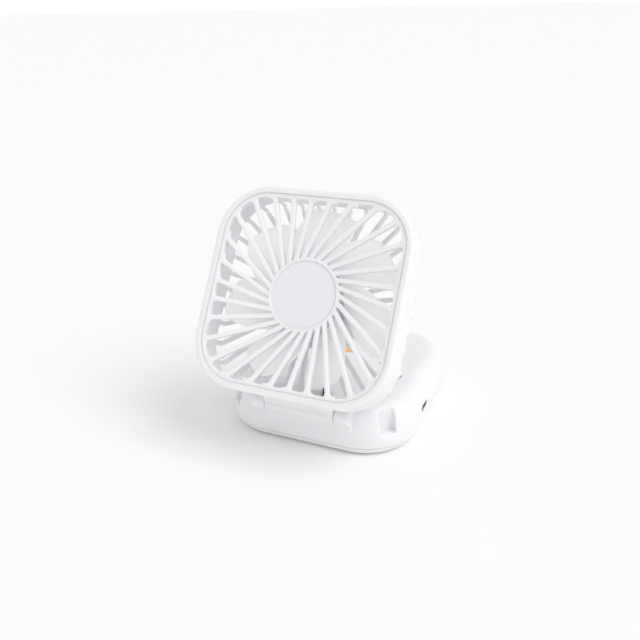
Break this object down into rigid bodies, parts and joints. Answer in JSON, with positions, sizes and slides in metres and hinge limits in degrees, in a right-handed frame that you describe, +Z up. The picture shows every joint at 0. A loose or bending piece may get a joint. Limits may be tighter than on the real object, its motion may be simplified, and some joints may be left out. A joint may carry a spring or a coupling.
{
  "type": "folding handheld fan",
  "caption": "Clamshell fan: a rounded-square fan head with slanted spokes, hinged on the front edge of a battery base with a button and charging socket.",
  "frame": {"origin": "middle of the base's flat underside", "axes": "+X along the fold hinge towards the charging socket, -Y the front where the hinge is, +Z up"},
  "size_m": [0.0918, 0.118, 0.1131],
  "materials": {
    "white_shell": "satin",
    "cap_white": "satin",
    "screw_steel": "zinc plated",
    "cell_wrap": "gloss",
    "foam": "matte",
    "red_insulation": "satin",
    "black_insulation": "satin",
    "board_green": "satin",
    "socket_steel": "satin",
    "dark_plastic": "matte",
    "lamp_white": "satin",
    "amber_lens": "gloss",
    "bush_steel": "ground",
    "washer_steel": "oiled",
    "header_ivory": "matte",
    "motor_metal": "cast",
    "stator_steel": "laminated",
    "enamelled_wire": "gloss",
    "bearing_brass": "sintered",
    "impeller_milky": "milky",
    "rotor_dark": "black finish",
    "magnet_dark": "matte"
  },
  "bodies": {
    "base": {"base_shell": "white_shell", "base_cover": "white_shell", "cover_screws": "screw_steel", "battery_cell": "cell_wrap", "battery_pad": "foam", "battery_lead_red": "red_insulation", "battery_lead_black": "black_insulation", "control_board": "board_green", "board_screws": "screw_steel", "usb_socket": "socket_steel", "power_switch": "dark_plastic", "indicator_lamp": "lamp_white", "indicator_lens": "amber_lens", "hinge_bushes": "bush_steel", "friction_washers": "washer_steel", "base_cord": "black_insulation", "cord_header": "header_ivory"},
    "head": {"head_shell": "white_shell", "front_grille": "white_shell", "grille_cap": "cap_white", "head_cord": "black_insulation", "head_lead_red": "red_insulation", "head_lead_black": "black_insulation", "motor_base": "motor_metal", "motor_screws": "screw_steel", "motor_board": "board_green", "stator_core": "stator_steel", "stator_coils": "enamelled_wire", "bearing_sleeve": "bearing_brass"},
    "rotor": {"impeller": "impeller_milky", "rotor_can": "rotor_dark", "rotor_magnet": "magnet_dark", "motor_shaft": "bush_steel", "shaft_clip": "dark_plastic"},
    "button": {"power_button": "white_shell", "switch_plunger": "dark_plastic"}
  },
  "joints": [
    {"name": "fold_hinge", "type": "hinge", "parent": "base", "child": "head", "pos_m": [0, -0.0484, 0.0209], "axis": [1, 0, 0], "range_deg": [-57.5, 122.5]},
    {"name": "impeller_spin", "type": "hinge", "parent": "head", "child": "rotor", "pos_m": [0, -0.02765, 0.06352], "axis": [0, -0.8434, 0.5373], "continuous": true},
    {"name": "button_press", "type": "slide", "parent": "base", "child": "button", "axis": [0, 0, -1], "range_m": [0, 0.0006], "stiffness_N_per_m": 1500, "springref_m": -0.0004}
  ]
}
